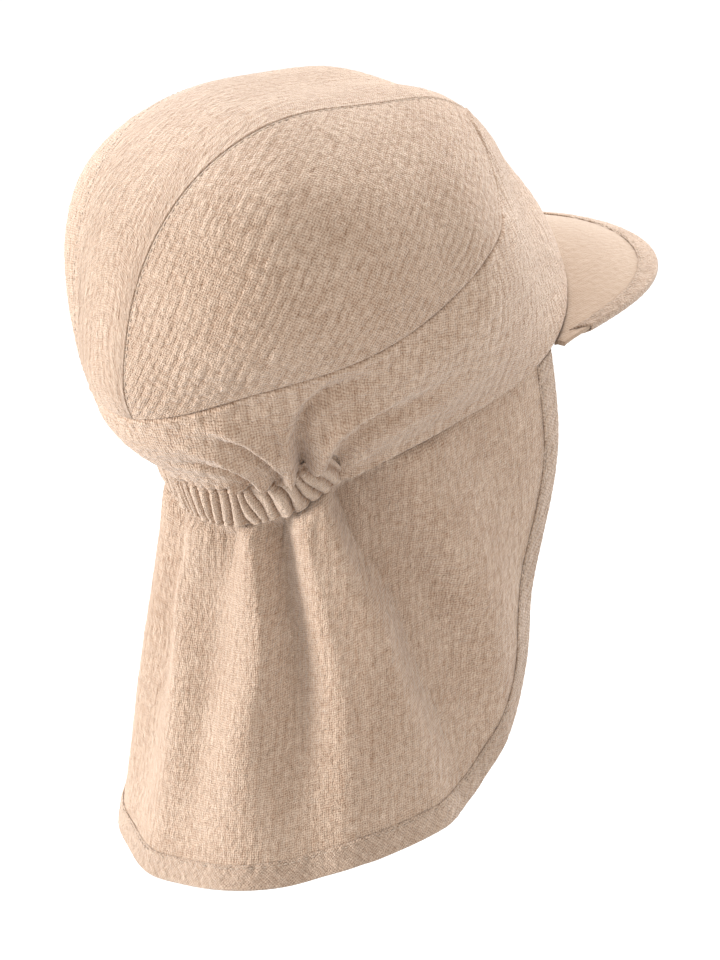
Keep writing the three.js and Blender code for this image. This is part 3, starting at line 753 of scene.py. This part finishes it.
def tape(name, middle, normal, along, wall, width, seed):
    """Tape folded over an edge. middle and normal give the sheet at a distance back from the edge."""
    free, full = wall / 2 + 0.1, wall / 2 + 0.1 + TAPE_PLY
    flat_part = np.arange(width, 0, -0.55)
    turn = np.linspace(0, np.pi, 9)
    back = np.concatenate([flat_part, -full * 0.8 * np.sin(turn), flat_part[::-1]])
    rise = np.concatenate([full + 0 * flat_part, full * np.cos(turn), -full + 0 * flat_part])
    rise_in = np.concatenate([free + 0 * flat_part, free * np.cos(turn), -free + 0 * flat_part])
    back_in = np.concatenate([flat_part, -free * 0.8 * np.sin(turn), flat_part[::-1]])
    across = np.concatenate([[0], np.cumsum(np.hypot(np.diff(back), np.diff(rise)))])
    stations = along[:, None]
    u, v = turned(across[None, :] + 0 * stations, stations + 0 * across[None, :], BIAS_ANGLE)
    height = crinkle(u, v, seed, pitch=2.6, length=3.0)
    seam = np.exp(-(((back[None, :] - width + TAPE_STITCH_INSET) / 0.55) ** 2))
    pits = 0.55 + 0.45 * np.cos(2 * np.pi * stations / STITCH_PITCH)
    edge_curl = np.exp(-(((back[None, :] - width) / 0.5) ** 2))
    pucker = noise(stations / 2.3, across[None, :] / 5, seed + 7)
    bulge = TAPE_CRINKLE * (height - 0.5) - TAPE_SEAM_DIP * seam * pits - TAPE_EDGE_CURL * edge_curl
    bulge = bulge + TAPE_PUCKER * pucker * smoothstep(back[None, :], 0, 4)
    sign = np.sign(rise)[None, :]
    side = np.where(np.abs(rise) >= full - 1e-9, sign, rise[None, :] / full)
    place, up = middle(back[None, :] + 0 * stations), normal(back[None, :] + 0 * stations)
    outer = place + up * (rise[None, :] + bulge * side)[..., None]
    place = middle(back_in[None, :] + 0 * stations)
    inner = place + up * (rise_in[None, :] + 0 * stations)[..., None]
    return shell(name, outer, inner, np.stack([u, v], -1), height)


def peak_tape(step):
    spaced = grid(-1, 1, step, PEAK_LENGTH)
    shares = np.sin(spaced * np.pi / 2)
    depth = np.linalg.norm(peak_root(shares) - peak_edge(shares), axis=-1)
    shares = shares[depth > 1.35 * BINDING_WIDTH]
    edge = peak_edge(shares)
    along = np.concatenate([[0], np.cumsum(np.linalg.norm(np.diff(edge, axis=0), axis=-1))])

    def middle(back):
        return peak_surface(shares[:, None] + 0 * back, back) - [0, 0, PEAK_WALL / 2]

    def normal(back):
        return np.zeros((*back.shape, 3)) + [0, 0, 1]

    return tape("peak_tape", middle, normal, along, PEAK_WALL, PEAK_TAPE_WIDTH, 71)


# Neck flap
flap_drop, flap_flare, flap_belly = (curve(FLAP_ROWS, column) for column in (1, 2, 3))
FOLD_PATHS = [(height, curve(path, 1, False, False)) for height, path in FOLD_ROWS]


def fold_lift(arc, share):
    """Height of the folds, which fade towards the hem."""
    bearing = 180 - np.degrees(arc / FLAP_ARC_RADIUS)
    reach = smoothstep(share, 0, 0.05) * (1 - 0.75 * smoothstep(share, 0.45, 1))
    total = 0 * arc
    for (low, start), (high, end) in zip(FOLD_PATHS[:-1], FOLD_PATHS[1:]):
        t = (bearing - start(share)) / (end(share) - start(share))
        total = np.where((t >= 0) & (t < 1), mix(low, high, smoothstep(t, 0, 1)), total)
    return reach * total


def gather_lift(arc, share):
    """Small puckers just below the elastic."""
    reach = smoothstep(share, 0, 0.03) * (1 - smoothstep(share, 0.05, 0.2))
    beside = 1 - smoothstep(np.abs(arc), 66, 78)
    wave = np.abs(np.sin(np.pi * (arc / 5.4 + 0.5 * noise(arc / 11, 9 * share, 85)))) ** 0.8
    return GATHER_LIFT * reach * beside * (wave - 0.4)


def flap_surface(arc, fall):
    """Middle of the flap's cloth at an arc from the nape and a fall below the rim."""
    theta = np.pi + arc / FLAP_ARC_RADIUS
    around = off_front(theta)
    gathered = smoothstep(around, CASING_END_BOTTOM - 8, CASING_END_BOTTOM - 2)
    inset = mix(CLOTH_WALL, CASING_WALL, gathered) + TUCK_GAP + FLAP_WALL / 2
    up = spread(np.maximum(-fall, 0), theta, rim_phi(theta))
    dirs = direction(theta, rim_phi(theta) + up)
    place, _ = crown_wall(dirs, -inset, 0)
    share = np.maximum(fall, 0) / FLAP_DROP
    flare = FLAP_FLARE * flap_flare(around) * share**1.2
    belly = FLAP_BELLY * flap_belly(around) * np.sin(np.pi * np.minimum(share, 1)) * (1 - share)
    out = flare + np.maximum(belly, 0) + fold_lift(arc, share) + gather_lift(arc, share)
    level = place * [1, 1, 0]
    place = place + unit(level) * out[..., None]
    fallen = np.maximum(fall, 0) * mix(1, flap_drop(around), np.minimum(share * 2, 1))
    place[..., 2] += FLAP_TILT * share * np.sin(2 * theta) - fallen
    return place


def flap_normal(arc, fall):
    nudge = 0.3
    along = flap_surface(arc + nudge, fall) - flap_surface(arc - nudge, fall)
    down = flap_surface(arc, fall + nudge) - flap_surface(arc, fall - nudge)
    return unit(np.cross(along, down))


FLAP_FRONT = math.radians(180 - FLAP_END_ANGLE) * FLAP_ARC_RADIUS
CORNER_START = FLAP_DROP - FLAP_CORNER
CORNER_MIDDLE = FLAP_FRONT - FLAP_LEAN_BACK - FLAP_CORNER


def front_arc(fall):
    """Arc of the flap's front edge at a fall, above the rounded corner."""
    return FLAP_FRONT - FLAP_LEAN_BACK * smoothstep(fall / FLAP_DROP, 0.2, 0.65)


def flap_half(fall):
    """Half the flap's flat width at a fall."""
    corner = np.clip((fall - CORNER_START) / FLAP_CORNER, 0, 1)
    turned_in = CORNER_MIDDLE + FLAP_CORNER * np.sqrt(1 - corner**2)
    return np.where(fall < CORNER_START, front_arc(fall), turned_in)


def flap_sheet(step):
    shares = grid(-1, 1, step, 2 * FLAP_FRONT * 0.93)
    straight = grid(-FLAP_TUCK, CORNER_START, step, CORNER_START + FLAP_TUCK)[:-1]
    turn = grid(0, np.pi / 2, step, FLAP_CORNER * 1.35)
    fall = np.concatenate([straight, CORNER_START + FLAP_CORNER * np.sin(turn)])[None, :]
    top_in = BINDING_WIDTH * (1 - smoothstep(fall, -1.0, 2.0))
    arc = shares[:, None] * (flap_half(fall) - top_in)
    fall = fall + 0 * arc
    place, normal = flap_surface(arc, fall), flap_normal(arc, fall)
    height = crinkle(arc, fall, 81)
    from_edge = np.minimum(flap_half(fall) - np.abs(arc), FLAP_DROP - fall)
    lift = CRINKLE_FLAP * (height - 0.5) * smoothstep(fall, 0, 3) * smoothstep(from_edge, 6, 11)
    lift = lift[..., None]
    outer = place + normal * (FLAP_WALL / 2 + lift)
    inner = place + normal * (-FLAP_WALL / 2 + lift)
    return shell("neck_flap_cloth", outer, inner, np.stack([arc, fall], -1), height)


def flap_edge(step):
    """Stations of the free edge: arc, fall and the way inwards, from one front edge round to the other."""
    fall = grid(2.0, CORNER_START, step, CORNER_START)
    front = np.stack([front_arc(fall), fall, -1 + 0 * fall, 0 * fall], -1)
    turn = grid(0, np.pi / 2, step, FLAP_CORNER * 1.57)[1:]
    corner = np.stack([
        CORNER_MIDDLE + FLAP_CORNER * np.cos(turn), CORNER_START + FLAP_CORNER * np.sin(turn),
        -np.cos(turn), -np.sin(turn),
    ], -1)
    arc = grid(CORNER_MIDDLE, 0, step, CORNER_MIDDLE)[1:]
    hem = np.stack([arc, FLAP_DROP + 0 * arc, 0 * arc, -1 + 0 * arc], -1)
    half = np.concatenate([front, corner, hem])
    return np.concatenate([half, half[:-1][::-1] * [-1, 1, -1, 1]])


def flap_tape(step):
    edge = flap_edge(step)
    line = flap_surface(edge[:, 0], edge[:, 1])
    along = np.concatenate([[0], np.cumsum(np.linalg.norm(np.diff(line, axis=0), axis=-1))])

    def at(back):
        return edge[:, None, 0] + edge[:, None, 2] * back, edge[:, None, 1] + edge[:, None, 3] * back

    def middle(back):
        return flap_surface(*at(back))

    def normal(back):
        return flap_normal(*at(back))

    return tape("flap_tape", middle, normal, along, FLAP_WALL, BINDING_WIDTH, 91)


# Stitches: short rounded threads lying in the cloth
def stitch_line(points, normals):
    """Threads along a line of points: a sagging capsule for each stitch."""
    steps = np.linalg.norm(np.diff(points, axis=0), axis=-1)
    run = np.concatenate([[0], np.cumsum(steps)])
    count = int(run[-1] / STITCH_PITCH)
    starts = np.arange(count) * STITCH_PITCH
    sides, rings = 6, 7
    t = np.linspace(0, 1, rings)
    at = starts[:, None] + t[None, :] * STITCH_LENGTH
    place = np.stack([np.interp(at, run, points[:, c]) for c in range(3)], -1)
    up = unit(np.stack([np.interp(at, run, normals[:, c]) for c in range(3)], -1))
    ahead = unit(np.gradient(place, axis=1))
    across = unit(np.cross(ahead, up))
    arch = np.sin(np.pi * t)
    radius = STITCH_RADIUS * np.sqrt(np.clip(arch, 0.02, 1))
    place = place + up * (0.22 * arch - 0.16)[None, :, None]
    turn = np.arange(sides) * 2 * np.pi / sides
    ring = np.cos(turn)[:, None] * across[:, :, None] + np.sin(turn)[:, None] * up[:, :, None]
    shape = place[:, :, None] + ring * radius[None, :, None, None]
    corners = shape.reshape(-1, 3)
    n, r, s = np.meshgrid(np.arange(count), np.arange(rings - 1), np.arange(sides), indexing="ij")
    n, r, s = n.ravel(), r.ravel(), s.ravel()
    k = (s + 1) % sides
    base = n * rings * sides
    near, far = base + r * sides, base + (r + 1) * sides
    faces = np.stack([near + s, near + k, far + k, far + s], -1)
    caps = []
    for stitch in range(count):
        first = stitch * rings * sides
        end = first + (rings - 1) * sides
        caps += [[first + 3, first + 2, first + 1, first], [first + 5, first + 4, first + 3, first]]
        caps += [[end, end + 1, end + 2, end + 3], [end, end + 3, end + 4, end + 5]]
    return corners, np.concatenate([faces, np.array(caps)])


def stitching(name, lines):
    parts = [stitch_line(points, normals) for points, normals in lines]
    corners = np.concatenate([part[0] for part in parts])
    starts = np.cumsum([0, *(len(part[0]) for part in parts[:-1])])
    faces = np.concatenate([part[1] + start for part, start in zip(parts, starts)])
    return make_mesh(name, corners, faces, np.zeros((len(faces), 4, 2)))


def panel_stitches():
    lines = []
    for side in (-1, 1):
        front, back = seam_ends(side)
        stations = np.linspace(front[1], back[1], 400)
        rows = np.linspace(0, 0.2, 120)
        dirs = side_dirs(side, stations, rows, front, back)
        down, _ = row_distances(on_crown(dirs))
        pick = np.argmin(np.abs(down - STITCH_INSET), axis=1)
        line = dirs[np.arange(len(stations)), pick][6:-6]
        outer, _ = crown_wall(line, np.zeros(len(line)), 0)
        lines.append((outer, crown_normal(line)))
    return stitching("crown_stitches", lines)


def tape_stitches(name, surface_at, wall, width):
    lines = []
    for face in (1, -1):
        place, normal = surface_at(width - TAPE_STITCH_INSET)
        up = normal * face
        lines.append((place + up * (wall / 2 + TAPE_PLY - 0.1), up))
    return stitching(name, lines)


def flap_tape_stitches():
    edge = flap_edge(1.0)

    def surface_at(back):
        arc, fall = edge[:, 0] + edge[:, 2] * back, edge[:, 1] + edge[:, 3] * back
        return flap_surface(arc, fall), flap_normal(arc, fall)

    return tape_stitches("flap_tape_stitches", surface_at, FLAP_WALL, BINDING_WIDTH)


def peak_tape_stitches():
    shares = np.sin(np.linspace(-1, 1, 300) * np.pi / 2)
    depth = np.linalg.norm(peak_root(shares) - peak_edge(shares), axis=-1)
    shares = shares[depth > 1.4 * BINDING_WIDTH]

    def surface_at(back):
        place = peak_surface(shares, np.full_like(shares, back)) - [0, 0, PEAK_WALL / 2]
        return place, np.zeros((len(shares), 3)) + [0, 0, 1]

    return tape_stitches("peak_tape_stitches", surface_at, PEAK_WALL, PEAK_TAPE_WIDTH)


# Materials
THREAD_PITCH_MM = 0.85


class Nodes:
    """Builds a node tree: each call makes a node and gives its output."""

    def __init__(self, tree):
        self.tree = tree

    def add(self, kind, inputs=None, output=0, **settings):
        node = self.tree.nodes.new(kind)
        for key, value in settings.items():
            setattr(node, key, value)
        for key, value in (inputs or {}).items():
            if isinstance(value, bpy.types.NodeSocket):
                self.tree.links.new(value, node.inputs[key])
            else:
                node.inputs[key].default_value = value
        return node.outputs[output]

    def math(self, operation, a, b=0.0, c=0.0):
        return self.add("ShaderNodeMath", {0: a, 1: b, 2: c}, operation=operation)

    def contrast(self, value, gain):
        """A noise about 0 in place of 0.5, and stronger."""
        return self.math("MULTIPLY_ADD", value, gain, -0.5 * gain)

    def mix(self, share, a, b):
        colours = {"Factor": share, "A": (*a, 1), "B": (*b, 1)}
        return self.add("ShaderNodeMix", colours, data_type="RGBA", clamp_factor=False, output="Result")

    def finish(self, surface):
        out = self.tree.nodes.new("ShaderNodeOutputMaterial")
        self.tree.links.new(surface, out.inputs["Surface"])


def weave_height(n, x, y):
    """Plain weave: threads both ways, each over and under the others in turn, from about 0 to 1.5."""
    half_turn = math.pi
    rx, ry = n.math("ROUND", x), n.math("ROUND", y)
    wave_up = n.math("COSINE", n.math("MULTIPLY", n.math("ADD", y, rx), half_turn))
    wave_across = n.math("COSINE", n.math("MULTIPLY", n.math("ADD", x, ry), half_turn))
    thread_up = n.math("COSINE", n.math("MULTIPLY", n.math("SUBTRACT", x, rx), half_turn))
    thread_across = n.math("COSINE", n.math("MULTIPLY", n.math("SUBTRACT", y, ry), half_turn))
    up = n.math("MULTIPLY_ADD", wave_up, 0.5, thread_up)
    across = n.math("MULTIPLY_ADD", wave_across, -0.5, thread_across)
    return n.math("MAXIMUM", up, across)


def cloth_material(name, shade, light, stretch=0.75, weave=0.2, pucker=0.35):
    """Crinkled cotton. shade and light are its colours in the creases and on the puckers, mixed by the
    height attribute, so the creases are darkened as painted shade; stretch below 1 draws the small puckers
    out along the grain."""
    material = bpy.data.materials.new(name)
    material.use_nodes = True
    tree = material.node_tree
    tree.nodes.clear()
    n = Nodes(tree)
    uv = n.add("ShaderNodeUVMap", uv_map="cloth")
    per_mm = 1 / UV_PER_MM
    flat = n.add("ShaderNodeVectorMath", {0: uv, 1: (per_mm, per_mm, per_mm)}, operation="MULTIPLY")
    uneven = n.add("ShaderNodeTexNoise", {"Vector": flat, "Scale": 0.45, "Detail": 2.0}, output="Color")
    stray = n.add("ShaderNodeVectorMath", {0: uneven, 1: (0.5, 0.5, 0.5)}, operation="SUBTRACT")
    stray = n.add("ShaderNodeVectorMath", {0: stray, 1: (1.5, 1.5, 1.5)}, operation="MULTIPLY")
    bent = n.add("ShaderNodeVectorMath", {0: flat, 1: stray}, operation="ADD")
    threads = 1 / THREAD_PITCH_MM
    counted = n.add("ShaderNodeVectorMath", {0: bent, 1: (threads, threads, 1.0)}, operation="MULTIPLY")
    x = n.add("ShaderNodeSeparateXYZ", {0: counted}, output="X")
    y = n.add("ShaderNodeSeparateXYZ", {0: counted}, output="Y")
    over = weave_height(n, x, y)
    drawn = n.add("ShaderNodeVectorMath", {0: bent, 1: (1.0, stretch, 1.0)}, operation="MULTIPLY")
    grain = n.contrast(n.add("ShaderNodeTexNoise", {"Vector": drawn, "Scale": 0.62, "Detail": 3.0}), 4.0)
    slub = n.contrast(n.add("ShaderNodeTexNoise", {"Vector": flat, "Scale": 2.0, "Detail": 1.0}), 3.0)
    cloud = n.contrast(n.add("ShaderNodeTexNoise", {"Vector": flat, "Scale": 0.05, "Detail": 2.0}), 2.0)
    height = n.add("ShaderNodeAttribute", attribute_name="height", output="Fac")
    # The height attribute darkens the creases and the casing's gather valleys: painted shade. The weave,
    # grain, slubs and cloud are the cloth's own tone.
    tone = n.math("MULTIPLY_ADD", height, 0.7, -0.32)
    tone = n.math("MULTIPLY_ADD", grain, 0.2, tone)
    tone = n.math("MULTIPLY_ADD", over, 0.55, tone)
    tone = n.math("MULTIPLY_ADD", slub, 0.4, tone)
    tone = n.math("MULTIPLY_ADD", cloud, 0.03, tone)
    # Below 0 the colour goes darker than the crease colour, the deepest painted shade.
    tone = n.math("MAXIMUM", -0.5, n.math("MINIMUM", 1.5, tone))
    colour = n.mix(tone, shade, light)
    relief = n.math("MULTIPLY_ADD", grain, pucker, n.math("MULTIPLY", over, weave))
    relief = n.math("MULTIPLY_ADD", slub, 0.5 * weave, relief)
    bump = n.add("ShaderNodeBump", {"Height": relief, "Distance": MM, "Strength": 1.0})
    n.finish(n.add("ShaderNodeBsdfPrincipled", {
        "Base Color": colour, "Roughness": 0.88, "Normal": bump, "Sheen Weight": 0.3,
        "Sheen Roughness": 0.45, "Specular IOR Level": 0.25,
    }))
    return material


def thread_material(name, colour):
    material = bpy.data.materials.new(name)
    material.use_nodes = True
    tree = material.node_tree
    tree.nodes.clear()
    n = Nodes(tree)
    place = n.add("ShaderNodeNewGeometry", output="Position")
    twist = n.add("ShaderNodeTexNoise", {"Vector": place, "Scale": 2500.0, "Detail": 2.0})
    bump = n.add("ShaderNodeBump", {"Height": twist, "Distance": 0.1 * MM, "Strength": 1.0})
    n.finish(n.add("ShaderNodeBsdfPrincipled", {
        "Base Color": n.mix(twist, [0.8 * c for c in colour], colour), "Roughness": 0.7, "Normal": bump,
        "Sheen Weight": 0.3, "Specular IOR Level": 0.3,
    }))
    return material


def floor_material(name, colour, glow):
    """Bright studio paper, which gives back more light than reaches it from the lamps."""
    material = bpy.data.materials.new(name)
    material.use_nodes = True
    shader = material.node_tree.nodes["Principled BSDF"]
    shader.inputs["Base Color"].default_value = (*colour, 1)
    shader.inputs["Roughness"].default_value = 0.9
    shader.inputs["Emission Color"].default_value = (1, 1, 1, 1)
    shader.inputs["Emission Strength"].default_value = glow
    return material


# Light, floor and backdrop
CAP_MIDDLE = (0.0, 0.0, -0.13)
FLOOR_LEVEL = -0.47
FLOOR_REACH = 9.0
FLOOR_GREY = (0.3, 0.3, 0.3)
FLOOR_GLOW = 0.66
SKY = 1.12


def area_light(name, place, size, power):
    """A soft light placed in metres from the cap's middle: to the right of the view, up and towards it."""
    data = bpy.data.lights.new(name, "AREA")
    data.shape = "DISK"
    data.size = size
    data.energy = power
    light = bpy.data.objects.new(name, data)
    bpy.context.scene.collection.objects.link(light)
    towards = viewing_direction(CAMERA_AZIMUTH, 0)
    right = Vector((0, 0, 1)).cross(towards).normalized()
    middle = Vector(CAP_MIDDLE)
    light.location = middle + right * place[0] + Vector((0, 0, 1)) * place[1] + towards * place[2]
    light.rotation_euler = (middle - light.location).to_track_quat("-Z", "Y").to_euler()


def make_stage():
    mesh = bpy.data.meshes.new("floor")
    turns = ((-1, -1), (1, -1), (1, 1), (-1, 1))
    corners = [(x * FLOOR_REACH, y * FLOOR_REACH, FLOOR_LEVEL) for x, y in turns]
    mesh.from_pydata(corners, [], [(0, 1, 2, 3)])
    floor = bpy.data.objects.new("floor", mesh)
    bpy.context.scene.collection.objects.link(floor)
    mesh.materials.append(floor_material("floor_white", FLOOR_GREY, FLOOR_GLOW))
    world = bpy.data.worlds.new("studio")
    world.use_nodes = True
    shader = world.node_tree.nodes["Background"]
    shader.inputs["Color"].default_value = (1, 1, 1, 1)
    shader.inputs["Strength"].default_value = SKY
    bpy.context.scene.world = world
    bpy.context.scene.view_settings.view_transform = "Standard"


make_stage()
area_light("left_low", (-1.45, 0.1, 0.02), 0.6, 33.0)
area_light("rim_right", (1.15, 0.45, -0.85), 0.7, 15.0)
area_light("top_back", (0.1, 1.3, -0.8), 0.8, 28.0)
area_light("front_right", (1.1, 0.3, 1.0), 0.9, 3.0)

# Crease and pucker colours of the cotton: the crease colour is painted shade, and the tape's pair works the
# same way.
shade, lit = (0.255, 0.145, 0.082), (0.505, 0.373, 0.278)
panel_cloth = cloth_material("panel_cotton", shade, lit)
band_cloth = cloth_material("band_cotton", shade, lit)
flap_cloth = cloth_material("flap_cotton", shade, lit, stretch=0.6)
# The peak's colours are darker than the panels', a shaded copy of the cotton that stands in for the light
# on its top, with less painted crease shade between them.
peak_cloth = cloth_material("peak_cotton", (0.30, 0.205, 0.14), (0.38, 0.28, 0.205), weave=0.1, pucker=0.1)
tape_cloth = cloth_material("tape_cotton", (0.24, 0.145, 0.09), (0.48, 0.355, 0.265))
thread = thread_material("sewing_thread", (0.46, 0.35, 0.265))

# Pieces; each number is the step of the piece's grid in millimetres
dress(centre_panel(0.9), "crown_centre_panel", panel_cloth)
dress(side_panel(-1, 0.75), "crown_side_right", panel_cloth)
dress(side_panel(1, 0.9), "crown_side_left", panel_cloth)
dress(head_band(0.95), "head_band", band_cloth)
dress(elastic_casing(0.42), "elastic_casing", band_cloth)
dress(peak(0.7), "peak", peak_cloth)
dress(peak_tape(0.8), "peak_binding", tape_cloth)
flap = dress(flap_sheet(1.08), "neck_flap", flap_cloth)
flap_edge_tape = dress(flap_tape(0.9), "flap_binding", tape_cloth)
dress(panel_stitches(), None, thread)
flap_thread = dress(flap_tape_stitches(), None, thread)
dress(peak_tape_stitches(), None, thread)
